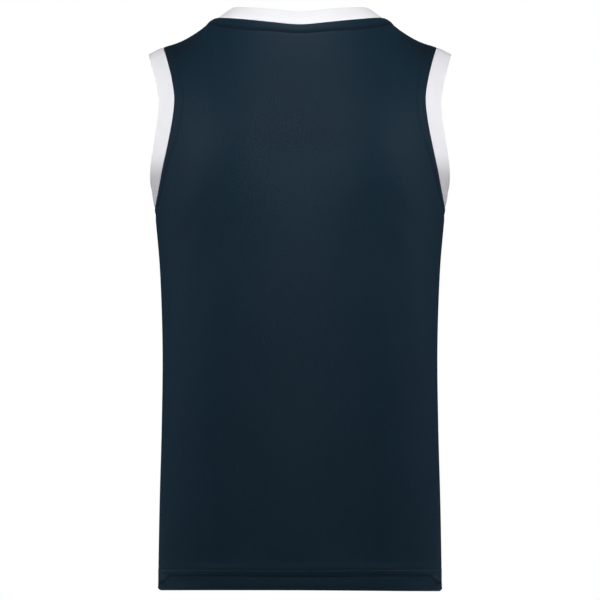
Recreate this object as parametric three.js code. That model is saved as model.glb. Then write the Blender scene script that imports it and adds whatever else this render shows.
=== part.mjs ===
// A sleeveless basketball jersey, men's size M, hollow and in the shape it has when it is worn.
// Units are millimetres. +Z is up, +Y is the way the wearer faces, and +X is the wearer's right.
// The origin lies midway between the shoulders, at the height where they carry the cloth.
// A maker cuts and sews five pieces: a back, a front, a neck band and two armhole bands.
import * as THREE from "three";

// Cloth and seams
const PANEL_WALL = 1.5;
const BAND_WALL = 2;
const SEAM_GAP = 0.3;
const HEM_DEPTH = 26; // height of the turned-up hem
const HEM_STEP = 1.5; // height over which the turned-up layer ends
const HEM_WALL = 2.4; // the panel and its turned-up layer together
const HEM_ROWS = 2; // the lowest rows of points, which bound the hem
const NECK_BAND_WIDTH = 22;
const ARM_BAND_WIDTH = 20.5;

// Heights and widths of the cut
const HEM_Z = -711;
const HEM_RISE = 7; // the hem hangs this much higher at the middle than at the side seams
const UNDERARM_Z = -222;
const NECK_HALF = 105.5; // from the middle to the neck end of a shoulder seam
const TIP_HALF = 174.5; // from the middle to the arm end of a shoulder seam
const NECK_POINT_Z = 23;

// The necklines. The back one drops in a shallow V, rounded at the middle over soft, and depth is how
// far its middle lies behind the shoulder seams. The front one is a round scoop, half an ellipse from
// the front, cut from a surface whose crest would rise by crestRise from the neck points to the middle.
const BACK_NECK = { depth: 72, drop: 12, soft: 12 };
const FRONT_NECK = { drop: 108, crestRise: 25 };

// How square the general figure's sections are: 2 is an ellipse, and more is squarer. The arch from
// the chest up and over the shoulder has one value at its foot and one at its crest.
const TORSO_SQUARE = 2.4;
const ARCH_SQUARE = {
  back: { foot: 2.2, crest: 2.2 },
  front: { foot: 2.2, crest: 1.5 },
};

// Horizontal sections of the torso: half its width, and its depth behind and before the side seams.
const TORSO = [
  { z: HEM_Z, half: 181.5, back: 106, front: 109 },
  { z: -600, half: 179.5, back: 103, front: 109 },
  { z: -500, half: 176.8, back: 102, front: 111 },
  { z: -400, half: 175.7, back: 105, front: 115 },
  { z: -300, half: 179, back: 113, front: 120 },
  { z: UNDERARM_Z, half: 185.5, back: 119, front: 123 },
  { z: -150, half: 190, back: 121, front: 120 },
  { z: -80, half: 194, back: 120, front: 112 },
  { z: 60, half: 196, back: 118, front: 96 },
];

// The line of the shoulders, from the neck out to the arm.
const SHOULDER_LINE = [
  { x: NECK_HALF, z: NECK_POINT_Z },
  { x: 111, z: 20.4 },
  { x: 117.5, z: 16.2 },
  { x: 122, z: 11.4 },
  { x: 131, z: 4.8 },
  { x: 143.5, z: -3 },
  { x: 155, z: -8.6 },
  { x: TIP_HALF, z: -15 },
];

// The armhole, by its share of the height from the underarm to the shoulder. edgeBack and edgeFront
// are half the width between the armholes, and the front is cut in deeper. outX and outZ say which way
// the band stands: what is left of its direction leans towards the plane of the side seams.
const ARMHOLE = [
  { share: 0, edgeBack: 185.5, edgeFront: 185.5, outX: 0.15, outZ: 0.989 },
  { share: 0.1, edgeBack: 180.8, edgeFront: 180, outX: 0.42, outZ: 0.82 },
  { share: 0.25, edgeBack: 174.6, edgeFront: 170, outX: 0.68, outZ: 0.56 },
  { share: 0.4, edgeBack: 167.4, edgeFront: 160.5, outX: 0.82, outZ: 0.3 },
  { share: 0.54, edgeBack: 161.6, edgeFront: 154, outX: 0.9, outZ: 0.14 },
  { share: 0.66, edgeBack: 159.4, edgeFront: 152.5, outX: 0.94, outZ: 0 },
  { share: 0.77, edgeBack: 162.4, edgeFront: 156.5, outX: 0.95, outZ: -0.08 },
  { share: 0.88, edgeBack: 167.6, edgeFront: 163.5, outX: 0.95, outZ: -0.2 },
  { share: 1, edgeBack: TIP_HALF, edgeFront: TIP_HALF, outX: 0.9, outZ: -0.436 },
];

// How far the neck band leans in from upright, in degrees.
const NECK_LEAN = { back: 42, side: 55, front: 34 };

// Soft forms of the cloth on the shoulder blades and below them: each adds to the depth of the back.
const BACK_FORMS = [
  { x: 86, z: -130, wide: 52, tall: 62, depth: 5 },
  { x: 92, z: -262, wide: 46, tall: 60, depth: -4 },
];

// Grid sizes
const HALF_COLUMNS = 16;
const NECK_COLUMNS = 10; // of HALF_COLUMNS, those that end at the neckline
const NECK_SPACING = 1.2; // more than 1 sets them closer together at the shoulder seam
const TORSO_ROWS = 13; // above the hem
const UPPER_ROWS = 16;
const UPPER_SPACING = 1.5; // more than 1 sets the rows closer together at the underarm
const BAND_STEPS = 3;
const BAND_TURN = 0.7; // the share of a band's width in which it turns into its own direction

const NAVY = new THREE.MeshStandardMaterial({ color: 0x1b2c3b, roughness: 0.62, metalness: 0 });
const WHITE = new THREE.MeshStandardMaterial({ color: 0xeeeff4, roughness: 0.75, metalness: 0 });

// Reads a column of a table at any height or width, on a smooth curve through its rows.
function along(table, by, column, at) {
  const rows = table[0][by] < table[table.length - 1][by] ? table : [...table].reverse();
  const last = rows.length - 1;
  let i = 0;
  while (i < last - 1 && at > rows[i + 1][by]) i += 1;
  const slope = (k) => {
    const low = Math.max(k - 1, 0);
    const high = Math.min(k + 1, last);
    return (rows[high][column] - rows[low][column]) / (rows[high][by] - rows[low][by]);
  };
  const step = rows[i + 1][by] - rows[i][by];
  const t = THREE.MathUtils.clamp((at - rows[i][by]) / step, 0, 1);
  const t2 = t * t;
  const t3 = t2 * t;
  return (
    (2 * t3 - 3 * t2 + 1) * rows[i][column] +
    (t3 - 2 * t2 + t) * step * slope(i) +
    (3 * t2 - 2 * t3) * rows[i + 1][column] +
    (t3 - t2) * step * slope(i + 1)
  );
}

// A superellipse's second coordinate, from its first: 1 at 0, and 0 at 1.
function rounded(share, square) {
  const rest = 1 - Math.min(Math.abs(share), 1) ** square;
  return Math.max(rest, 0) ** (1 / square);
}

// Angles from the middle of a panel to its side seam, a quarter turn, evenly spaced round the chest.
function evenAngles(count) {
  const fine = 600;
  const chest = TORSO.find((row) => row.z === UNDERARM_Z);
  const lengths = [0];
  let before = null;
  for (let i = 0; i <= fine; i += 1) {
    const angle = (i / fine) * (Math.PI / 2);
    const x = chest.half * Math.sin(angle) ** (2 / TORSO_SQUARE);
    const y = chest.back * Math.cos(angle) ** (2 / TORSO_SQUARE);
    if (before) lengths.push(lengths[i - 1] + Math.hypot(x - before.x, y - before.y));
    before = { x, y };
  }
  return Array.from({ length: count + 1 }, (_, j) => {
    const wanted = (lengths[fine] * j) / count;
    const i = Math.max(lengths.findIndex((length) => length >= wanted - 1e-9), 0);
    return (i / fine) * (Math.PI / 2);
  });
}

const ANGLES = evenAngles(HALF_COLUMNS);

// The depth of the figure beside the side seams' plane, at a height and a distance from the middle.
function torsoDepth(side, x, z) {
  return along(TORSO, "z", side, z) * rounded(x / along(TORSO, "z", "half", z), TORSO_SQUARE);
}

// The arch that the cloth follows from the chest up and over the shoulder, at a distance from the
// middle. top is the height of its crest: the shoulder line, or inside the neck a height that the
// cloth never reaches. share is how much of the way up the cloth goes.
function arch(side, x) {
  if (x >= NECK_HALF) return { top: along(SHOULDER_LINE, "x", "z", x), share: 1 };
  const t = x / NECK_HALF;
  const round = Math.sqrt(1 - t * t);
  if (side === "front") {
    const top = NECK_POINT_Z + FRONT_NECK.crestRise * (1 - t * t);
    const edge = NECK_POINT_Z - FRONT_NECK.drop * round;
    return { top, share: (edge - UNDERARM_Z) / (top - UNDERARM_Z) };
  }
  const soft = (d) => Math.hypot(d, BACK_NECK.soft) - BACK_NECK.soft;
  const edge = NECK_POINT_Z - BACK_NECK.drop * (1 - soft(x) / soft(NECK_HALF));
  const left = (BACK_NECK.depth * round) / torsoDepth(side, x, edge);
  const share = (1 - left ** ARCH_SQUARE.back.crest) ** (1 / ARCH_SQUARE.back.foot);
  return { top: UNDERARM_Z + (edge - UNDERARM_Z) / share, share };
}

// What the soft forms add to the depth of the back.
function formDepth(side, x, z) {
  if (side === "front") return 0;
  return BACK_FORMS.reduce((sum, form) => {
    const across = (x - form.x) / form.wide;
    const up = (z - form.z) / form.tall;
    return sum + form.depth * Math.exp(-across * across - up * up);
  }, 0);
}

// A point of the panel below the underarm, on a rounded section.
function torsoPoint(side, column, share) {
  const angle = ANGLES[column];
  const f = Math.sin(angle) ** (2 / TORSO_SQUARE);
  const g = Math.cos(angle) ** (2 / TORSO_SQUARE);
  const hem = HEM_Z + HEM_RISE * g;
  const z = hem + (UNDERARM_Z - hem) * share;
  const x = along(TORSO, "z", "half", z) * f;
  return { x, z, depth: along(TORSO, "z", side, z) * g + formDepth(side, x, z) * g };
}

// A point of the panel above the underarm, on the arch over the shoulder.
function upperPoint(side, column, share) {
  const u = column / HALF_COLUMNS;
  const neckShare = NECK_COLUMNS / HALF_COLUMNS;
  const chestHalf = along(TORSO, "z", "half", UNDERARM_Z);
  const low = chestHalf * Math.sin(ANGLES[column]) ** (2 / TORSO_SQUARE);
  const neckTurn = 1 - Math.max(1 - u / neckShare, 0) ** NECK_SPACING;
  const high =
    u <= neckShare
      ? NECK_HALF * Math.sin(neckTurn * (Math.PI / 2))
      : NECK_HALF + ((TIP_HALF - NECK_HALF) * (u - neckShare)) / (1 - neckShare);
  const edgeName = side === "back" ? "edgeBack" : "edgeFront";
  const edge = along(ARMHOLE, "share", edgeName, Math.sin((share * Math.PI) / 2));
  const straight = chestHalf + (TIP_HALF - chestHalf) * share;
  const x = low + (high - low) * share + (edge - straight) * u * u;
  const climb = Math.sin(share * Math.asin(arch(side, high).share));
  const z = UNDERARM_Z + (arch(side, x).top - UNDERARM_Z) * climb;
  const fade = Math.max(1 - climb ** ARCH_SQUARE[side].foot, 0) ** (1 / ARCH_SQUARE[side].crest);
  const inside = 1 - u ** 6;
  return { x, z, depth: (torsoDepth(side, x, z) + formDepth(side, x, z) * inside) * fade };
}

// The heights of the rows, as shares from the hem to the underarm: the hem first, then even steps.
function torsoShares() {
  const tall = UNDERARM_Z - HEM_Z;
  const start = (HEM_DEPTH + HEM_STEP) / tall;
  const even = Array.from({ length: TORSO_ROWS }, (_, i) => start + ((1 - start) * (i + 1)) / TORSO_ROWS);
  return [0, HEM_DEPTH / tall, start, ...even];
}

// A panel's outer points, row by row from the hem up, and column by column towards +X.
function panelGrid(side) {
  const sign = side === "back" ? -1 : 1;
  const rows = torsoShares().map((share) => (column) => torsoPoint(side, column, share));
  for (let i = 1; i <= UPPER_ROWS; i += 1) {
    rows.push((column) => upperPoint(side, column, (i / UPPER_ROWS) ** UPPER_SPACING));
  }
  return rows.map((row) => {
    const line = [];
    for (let j = -HALF_COLUMNS; j <= HALF_COLUMNS; j += 1) {
      const point = row(Math.abs(j));
      line.push(new THREE.Vector3(Math.sign(j) * point.x, sign * (point.depth + SEAM_GAP / 2), point.z));
    }
    return line;
  });
}

// The outward normals of a grid. Along the side and shoulder seams they stay in the seams' plane.
function panelNormals(grid, side) {
  const sign = side === "back" ? -1 : 1;
  const top = grid.length - 1;
  const width = grid[0].length - 1;
  const seamRow = torsoShares().length - 1;
  return grid.map((line, r) =>
    line.map((_, c) => {
      const fromMiddle = c - HALF_COLUMNS;
      const onSide = (c === 0 || c === width) && r <= seamRow;
      const onShoulder = r === top && Math.abs(fromMiddle) >= NECK_COLUMNS;
      const neckPoint = r === top && Math.abs(fromMiddle) === NECK_COLUMNS;
      const left = neckPoint && fromMiddle > 0 ? c : Math.max(c - 1, 0);
      const right = neckPoint && fromMiddle < 0 ? c : Math.min(c + 1, width);
      const across = new THREE.Vector3().subVectors(line[right], line[left]);
      const up = new THREE.Vector3().subVectors(grid[Math.min(r + 1, top)][c], grid[Math.max(r - 1, 0)][c]);
      if (onSide) up.subVectors(grid[r][c], grid[Math.max(r - 1, 0)][c]);
      const normal = new THREE.Vector3().crossVectors(across, up).multiplyScalar(-sign);
      if (onSide || onShoulder) normal.y = 0;
      return normal.normalize();
    }),
  );
}

// A closed wall between an outer and an inner grid. A ring's columns close on themselves.
function wall(outer, inner, ring) {
  const rows = outer.length;
  const columns = outer[0].length;
  const points = [...outer.flat(), ...inner.flat()];
  const at = (layer, r, c) => layer * rows * columns + r * columns + (c % columns);
  const index = [];
  const quad = (a, b, c, d) => {
    const cutHere = points[a].distanceTo(points[c]) <= points[b].distanceTo(points[d]) + 1e-6;
    index.push(...(cutHere ? [a, b, c, a, c, d] : [b, c, d, b, d, a]));
  };
  const spans = ring ? columns : columns - 1;
  for (let r = 0; r < rows - 1; r += 1) {
    for (let c = 0; c < spans; c += 1) {
      quad(at(0, r, c), at(0, r, c + 1), at(0, r + 1, c + 1), at(0, r + 1, c));
      quad(at(1, r, c), at(1, r + 1, c), at(1, r + 1, c + 1), at(1, r, c + 1));
    }
  }
  for (let c = 0; c < spans; c += 1) {
    quad(at(0, 0, c), at(1, 0, c), at(1, 0, c + 1), at(0, 0, c + 1));
    quad(at(0, rows - 1, c), at(0, rows - 1, c + 1), at(1, rows - 1, c + 1), at(1, rows - 1, c));
  }
  if (!ring) {
    for (let r = 0; r < rows - 1; r += 1) {
      quad(at(0, r, 0), at(0, r + 1, 0), at(1, r + 1, 0), at(1, r, 0));
      quad(at(0, r, spans), at(1, r, spans), at(1, r + 1, spans), at(0, r + 1, spans));
    }
  }
  const volume = index.reduce((sum, _, i) => {
    if (i % 3) return sum;
    const [a, b, c] = [points[index[i]], points[index[i + 1]], points[index[i + 2]]];
    return sum + a.dot(new THREE.Vector3().crossVectors(b, c));
  }, 0);
  if (volume < 0) index.reverse();
  const geometry = new THREE.BufferGeometry().setFromPoints(points).setIndex(index);
  geometry.computeVertexNormals();
  return geometry;
}

// A front or back panel: its outer surface, its normals, and its wall with the thicker hem.
function makePanel(side) {
  const grid = panelGrid(side);
  const normals = panelNormals(grid, side);
  const inner = grid.map((line, r) => {
    const thickness = r < HEM_ROWS ? HEM_WALL : PANEL_WALL;
    return line.map((point, c) => point.clone().addScaledVector(normals[r][c], -thickness));
  });
  return { grid, normals, geometry: wall(grid, inner, false) };
}

// A point of a panel's edge, with its normal and the way off the panel from its neighbour inside.
function edgePoint(panel, r, c, insideRow, insideColumn) {
  const off = new THREE.Vector3().subVectors(panel.grid[r][c], panel.grid[insideRow][insideColumn]);
  return { point: panel.grid[r][c], normal: panel.normals[r][c], off };
}

// The two panels' edges joined into one closed loop. Where the panels meet, the two points become one.
function joinEdges(one, other) {
  const middle = (a, b) => ({
    point: a.point.clone().lerp(b.point, 0.5),
    normal: a.normal.clone().add(b.normal).normalize(),
    off: a.off.clone().add(b.off),
  });
  const first = middle(one[0], other[0]);
  const last = middle(one[one.length - 1], other[other.length - 1]);
  return [first, ...one.slice(1, -1), last, ...other.slice(1, -1).reverse()];
}

// A band sewn to a loop of panel edges. It leaves the panels along their own surface, and turns
// smoothly into the direction that leanOf gives, always square to the edge.
function bandGeometry(loop, width, leanOf) {
  const count = loop.length;
  const outer = [];
  const inner = [];
  for (let k = 0; k <= BAND_STEPS; k += 1) {
    outer.push([]);
    inner.push([]);
  }
  loop.forEach((edge, i) => {
    const tangent = new THREE.Vector3()
      .subVectors(loop[(i + 1) % count].point, loop[(i + count - 1) % count].point)
      .normalize();
    const off = new THREE.Vector3().crossVectors(tangent, edge.normal).normalize();
    if (off.dot(edge.off) < 0) off.negate();
    const lean = leanOf(edge);
    lean.addScaledVector(tangent, -lean.dot(tangent)).normalize();
    const point = edge.point.clone().addScaledVector(off, SEAM_GAP);
    for (let k = 0; k <= BAND_STEPS; k += 1) {
      const turn = THREE.MathUtils.smoothstep(k / BAND_STEPS, 0, BAND_TURN);
      const way = off.clone().lerp(lean, turn).normalize();
      if (k) point.addScaledVector(way, width / BAND_STEPS);
      const normal = new THREE.Vector3().crossVectors(tangent, way).normalize();
      if (normal.dot(edge.normal) < 0) normal.negate();
      if (k === 0) normal.copy(edge.normal);
      outer[k].push(point.clone());
      inner[k].push(point.clone().addScaledVector(normal, -BAND_WALL));
    }
  });
  return wall(outer, inner, true);
}

// The way that the neck band stands: in towards the neck and up, by an angle that changes round it.
function neckLean(edge) {
  const { x, y } = edge.point;
  const inward = new THREE.Vector3(-x, -y, 0).normalize();
  const end = y < 0 ? NECK_LEAN.back : NECK_LEAN.front;
  const middle = y * y / (x * x + y * y);
  const angle = THREE.MathUtils.degToRad(NECK_LEAN.side + (end - NECK_LEAN.side) * middle);
  return inward.multiplyScalar(Math.sin(angle)).add(new THREE.Vector3(0, 0, Math.cos(angle)));
}

// The way that an armhole band stands, from the armhole's table.
function armLean(edge) {
  const { x, y, z } = edge.point;
  const top = along(SHOULDER_LINE, "x", "z", Math.abs(x));
  const share = THREE.MathUtils.clamp((z - UNDERARM_Z) / (top - UNDERARM_Z), 0, 1);
  const outX = along(ARMHOLE, "share", "outX", share);
  const outZ = along(ARMHOLE, "share", "outZ", share);
  const rest = Math.sqrt(Math.max(1 - outX * outX - outZ * outZ, 0));
  const inPlane = Math.abs(y) < SEAM_GAP ? 0 : -Math.sign(y) * rest;
  return new THREE.Vector3(Math.sign(x) * outX, inPlane, outZ).normalize();
}

// The neckline as a loop, along the top rows of both panels.
function neckLoop(back, front) {
  const top = back.grid.length - 1;
  const row = (panel) => {
    const edge = [];
    for (let c = HALF_COLUMNS - NECK_COLUMNS; c <= HALF_COLUMNS + NECK_COLUMNS; c += 1) {
      edge.push(edgePoint(panel, top, c, top - 1, c));
    }
    return edge;
  };
  return joinEdges(row(back), row(front));
}

// An armhole as a loop, up the outermost column of each panel from the underarm to the shoulder.
function armLoop(back, front, right) {
  const underarm = torsoShares().length - 1;
  const c = right ? 2 * HALF_COLUMNS : 0;
  const column = (panel) => {
    const edge = [];
    for (let r = underarm; r < panel.grid.length; r += 1) {
      const bottom = r === underarm;
      edge.push(edgePoint(panel, r, c, bottom ? r - 1 : r, bottom ? c : right ? c - 1 : c + 1));
    }
    return edge;
  };
  return joinEdges(column(back), column(front));
}

const back = makePanel("back");
const front = makePanel("front");

const jersey = new THREE.Group();
const pieces = [
  ["back_panel", back.geometry, NAVY],
  ["front_panel", front.geometry, NAVY],
  ["neck_band", bandGeometry(neckLoop(back, front), NECK_BAND_WIDTH, neckLean), WHITE],
  ["armhole_band_left", bandGeometry(armLoop(back, front, false), ARM_BAND_WIDTH, armLean), WHITE],
  ["armhole_band_right", bandGeometry(armLoop(back, front, true), ARM_BAND_WIDTH, armLean), WHITE],
];
for (const [name, geometry, material] of pieces) {
  const mesh = new THREE.Mesh(geometry, material);
  mesh.name = name;
  jersey.add(mesh);
}

export default jersey;
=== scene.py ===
# %% [markdown]
# # A basketball jersey, as it looks when it is worn
# The jersey is five sewn pieces of knitted cloth: a back, a front, a neck band and two armhole bands.
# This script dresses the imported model: it loads that model as a fixed frame, makes each piece again as
# a fine surface with its seams, hem, soft folds and stitches, gives it a knitted finish, and sets up a
# floor, lights and a camera. Lengths are worked out in millimetres and turned into metres at the end.

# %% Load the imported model
import math

import bpy
import numpy as np
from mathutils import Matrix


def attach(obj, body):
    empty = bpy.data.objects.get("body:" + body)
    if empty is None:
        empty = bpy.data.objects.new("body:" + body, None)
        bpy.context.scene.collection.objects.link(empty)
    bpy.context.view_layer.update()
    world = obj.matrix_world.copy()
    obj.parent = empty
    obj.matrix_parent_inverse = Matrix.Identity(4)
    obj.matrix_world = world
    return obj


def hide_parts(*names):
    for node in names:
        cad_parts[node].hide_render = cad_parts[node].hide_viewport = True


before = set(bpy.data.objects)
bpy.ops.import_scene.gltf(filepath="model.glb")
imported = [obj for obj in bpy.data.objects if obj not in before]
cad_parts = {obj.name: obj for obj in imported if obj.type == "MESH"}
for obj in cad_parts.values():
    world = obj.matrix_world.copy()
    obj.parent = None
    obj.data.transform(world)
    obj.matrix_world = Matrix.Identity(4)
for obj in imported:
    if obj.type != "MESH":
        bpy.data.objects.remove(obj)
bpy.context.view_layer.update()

print("nodes", sorted(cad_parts))

# %% [markdown]
# ## The figure inside the cloth
# A worn jersey takes its form from the body. Level sections of the trunk are superellipses, ellipses
# with a squareness that can be set, and a short table gives their size at each height. A second table
# gives the line of the shoulders, and a third the cut of the armhole. The numbers are those of the
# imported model, so the fine surfaces lie where its solids lie.

# %% Tables of the figure
TORSO = {
    "z": [-711, -600, -500, -400, -300, -222, -150, -80, 60],
    "half": [181.5, 179.5, 176.8, 175.7, 179, 185.5, 190, 194, 196],
    "back": [106, 103, 102, 105, 113, 119, 121, 120, 118],
    "front": [109, 109, 111, 115, 120, 123, 120, 112, 96],
}
SHOULDER = {
    "x": [105.5, 111, 117.5, 122, 131, 143.5, 155, 174.5],
    "z": [23, 20.4, 16.2, 11.4, 4.8, -3, -8.6, -15],
}
ARMHOLE = {
    "share": [0, 0.1, 0.25, 0.4, 0.54, 0.66, 0.77, 0.88, 1],
    "back": [185.5, 180.8, 174.6, 167.4, 161.6, 159.4, 162.4, 167.6, 174.5],
    "front": [185.5, 180, 170, 160.5, 154, 152.5, 156.5, 163.5, 174.5],
    "out": [0.15, 0.42, 0.68, 0.82, 0.9, 0.94, 0.95, 0.95, 0.9],
    "up": [0.989, 0.82, 0.56, 0.3, 0.14, 0, -0.08, -0.2, -0.436],
}
HEM_Z, HEM_RISE, UNDERARM_Z = -711, 7, -222
NECK_HALF, TIP_HALF, NECK_POINT_Z = 105.5, 174.5, 23
NECK_SHARE = 10 / 16  # the share of a half panel's columns that end at the neckline
TORSO_SQUARE = 2.4
ARCH_FOOT = 2.2
ARCH_CREST = {"back": 2.2, "front": 1.5}
CHEST_HALF, CHEST_DEPTH = 185.5, 119
FRONT_RISE, FRONT_SCOOP = 25, 108  # the front arch's rise at the middle, and the depth of its neckline
BACK_DIP, BACK_DIP_ROUND, BACK_REACH = 12, 12, 72  # the back neckline: its dip, rounding and reach
# x, z, width, height, how far out
BACK_FORMS = [(86, -130, 52, 62, 5), (92, -262, 46, 60, -4)]


def along(table, key, column, at):
    """Reads a column of a table at any value of its key: between two rows runs a cubic, and its slope
    at a row is that of the chord between the rows before and after."""
    x, y = np.array(table[key], float), np.array(table[column], float)
    order = np.arange(len(x))
    low, high = np.maximum(order - 1, 0), np.minimum(order + 1, len(x) - 1)
    slope = (y[high] - y[low]) / (x[high] - x[low])
    at = np.clip(at, x[0], x[-1])
    i = np.clip(np.searchsorted(x, at, side="right") - 1, 0, len(x) - 2)
    step = x[i + 1] - x[i]
    t = (at - x[i]) / step
    start = (2 * t**3 - 3 * t**2 + 1) * y[i] + (t**3 - 2 * t**2 + t) * step * slope[i]
    end = (3 * t**2 - 2 * t**3) * y[i + 1] + (t**3 - t**2) * step * slope[i + 1]
    return start + end


def bell(distance, width):
    """exp(-(distance / width)^2): 1 in the middle, fading on both sides."""
    return np.exp(-((distance / width) ** 2))


print("half width at the waist", along(TORSO, "z", "half", np.array([-420.0])))

# %% [markdown]
# ## A panel as a function of two parameters
# u runs from the middle of a panel (0) to its side seam or armhole (1), and v runs from the hem (0) to
# the underarm (1) and on to the neckline or shoulder seam (2). Below the underarm the cloth follows the
# trunk's section. Above it, the cloth follows an arch that climbs from the chest to the shoulder line,
# or stops on the way at the neckline.

# %% The form of a panel


def rounded(share, square):
    """A superellipse's second coordinate: (1 - |share|^square)^(1/square)."""
    return np.maximum(1 - np.minimum(np.abs(share), 1) ** square, 0) ** (1 / square)


def torso_depth(side, x, z):
    """The trunk's depth before or behind the side seams: the section's depth times its roundness."""
    return along(TORSO, "z", side, z) * rounded(x / along(TORSO, "z", "half", z), TORSO_SQUARE)


def quarter_angle(u):
    """The section's angle at a share u of the arc from the middle to the side, measured on the chest."""
    angle = np.linspace(0, np.pi / 2, 2001)
    x = CHEST_HALF * np.sin(angle) ** (2 / TORSO_SQUARE)
    y = CHEST_DEPTH * np.cos(angle) ** (2 / TORSO_SQUARE)
    length = np.concatenate([[0], np.cumsum(np.hypot(np.diff(x), np.diff(y)))])
    return np.interp(u * length[-1], length, angle)


def arch(side, x):
    """The crest height of the arch at x, and the share of the way up where the cloth ends there: all
    of it outside the neck. Inside, the back ends at a given depth and the front at a given height."""
    t = np.minimum(x / NECK_HALF, 1)
    level = np.sqrt(np.maximum(1 - t**2, 0))
    if side == "front":
        top = NECK_POINT_Z + FRONT_RISE * (1 - t**2)
        share = (NECK_POINT_Z - FRONT_SCOOP * level - UNDERARM_Z) / (top - UNDERARM_Z)
    else:
        r = BACK_DIP_ROUND
        dip = (np.hypot(np.minimum(x, NECK_HALF), r) - r) / (np.hypot(NECK_HALF, r) - r)
        edge = NECK_POINT_Z - BACK_DIP * (1 - dip)
        left = BACK_REACH * level / torso_depth(side, x, edge)
        share = (1 - left ** ARCH_CREST[side]) ** (1 / ARCH_FOOT)
        top = UNDERARM_Z + (edge - UNDERARM_Z) / share
    outside = x >= NECK_HALF
    return np.where(outside, along(SHOULDER, "x", "z", x), top), np.where(outside, 1, share)


def soft_forms(side, x, z):
    """Shoulder blades and the hollows under them: a sum of bells across times bells up."""
    if side == "front":
        return 0 * x
    return sum(out * bell(x - fx, width) * bell(z - fz, tall) for fx, fz, width, tall, out in BACK_FORMS)


def panel_form(side, u, v):
    """A panel's plain surface in millimetres, for u from -1 to 1 and v from 0 to 2."""
    a = np.abs(u)
    angle = quarter_angle(a)
    f, g = np.sin(angle) ** (2 / TORSO_SQUARE), np.cos(angle) ** (2 / TORSO_SQUARE)
    low_share, high_share = np.clip(v, 0, 1), np.clip(v - 1, 0, 1)
    hem = HEM_Z + HEM_RISE * g
    z_low = hem + (UNDERARM_Z - hem) * low_share
    x_low = along(TORSO, "z", "half", z_low) * f
    depth_low = along(TORSO, "z", side, z_low) * g
    high = np.where(
        a <= NECK_SHARE,
        NECK_HALF * np.sin((1 - np.maximum(1 - a / NECK_SHARE, 0) ** 1.2) * np.pi / 2),
        NECK_HALF + (TIP_HALF - NECK_HALF) * (a - NECK_SHARE) / (1 - NECK_SHARE),
    )
    edge = along(ARMHOLE, "share", side, np.sin(high_share * np.pi / 2))
    straight = CHEST_HALF + (TIP_HALF - CHEST_HALF) * high_share
    x_high = CHEST_HALF * f * (1 - high_share) + high * high_share + (edge - straight) * a**2
    climb = np.sin(high_share * np.arcsin(np.minimum(arch(side, high)[1], 1)))
    z_high = UNDERARM_Z + (arch(side, x_high)[0] - UNDERARM_Z) * climb
    fade = np.maximum(1 - climb**ARCH_FOOT, 0) ** (1 / ARCH_CREST[side])
    below = v <= 1
    x, z = np.where(below, x_low, x_high), np.where(below, z_low, z_high)
    depth = np.where(below, depth_low, torso_depth(side, x, z) * fade)
    depth = depth + soft_forms(side, x, z) * (1 - a**6) * np.where(below, 1, fade)
    sign = -1 if side == "back" else 1
    return np.stack([np.sign(u) * x, sign * depth, z], axis=-1)


print("middle of the back neckline", panel_form("back", np.array([0.0]), np.array([2.0])).round(1))

# %% [markdown]
# ## Where the grid lines lie
# A seam or a hem needs grid lines a millimetre apart, and the middle of a panel needs few. So the
# lines are spread by a density: even, plus a bell at each place that needs more of them.

# %% Grid lines


def spread(count, bells):
    """count + 1 values from 0 to 1, closer together under each bell (place, height, width)."""
    s = np.linspace(0, 1, 4001)
    density = 1 + sum(height * bell(s - place, width) for place, height, width in bells)
    total = np.concatenate([[0], np.cumsum((density[1:] + density[:-1]) / 2)])
    return np.interp(np.linspace(0, total[-1], count + 1), total, s)


half_columns = np.concatenate([
    NECK_SHARE * spread(62, [(1, 0.6, 0.15)])[:-1],
    NECK_SHARE + (1 - NECK_SHARE) * spread(58, [(1, 1.6, 0.3)]),
])
COLUMNS = np.concatenate([-half_columns[:0:-1], half_columns])
ROWS = np.concatenate([
    spread(104, [(0, 4, 0.06), (1, 1.5, 0.03)])[:-1],
    1 + spread(96, [(0, 3, 0.04), (1, 2, 0.08)]),
])
NECK_COLUMNS = np.abs(COLUMNS) <= NECK_SHARE + 1e-9
UNDERARM_ROW = int(np.argmin(np.abs(ROWS - 1)))
print("columns", len(COLUMNS), "rows", len(ROWS))

# %% [markdown]
# ## Normals, lengths and distances on a grid
# Every seam is drawn by moving the surface along its normal by an amount that depends on the distance
# to the seam. The normal is the cross product of the two directions of the grid. Along a side or
# shoulder seam it is kept in the seam's plane, so the back and the front meet there without a step.

# %% Measures of a grid


def unit(vectors):
    """Vectors divided by their lengths."""
    return vectors / np.maximum(np.linalg.norm(vectors, axis=-1, keepdims=True), 1e-12)


def panel_normals(points, side):
    """Outward normals: across x up, with y set to 0 on the side seams and the shoulder seams."""
    across, up = np.gradient(points, axis=1), np.gradient(points, axis=0)
    right, left = np.flatnonzero(NECK_COLUMNS)[[-1, 0]]
    across[-1, right] = points[-1, right + 1] - points[-1, right]
    across[-1, left] = points[-1, left] - points[-1, left - 1]
    normals = np.cross(across, up) * (1 if side == "back" else -1)
    normals[: UNDERARM_ROW + 1, [0, -1], 1] = 0
    normals[-1, ~NECK_COLUMNS, 1] = 0
    normals[-1, [left, right], 1] = 0
    return unit(normals)


def run_length(points, axis):
    """The length of the grid's lines from their first point, along one axis."""
    steps = np.linalg.norm(np.diff(points, axis=axis), axis=-1)
    start = np.zeros_like(np.take(steps, [0], axis=axis))
    return np.concatenate([start, np.cumsum(steps, axis=axis)], axis=axis)


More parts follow.
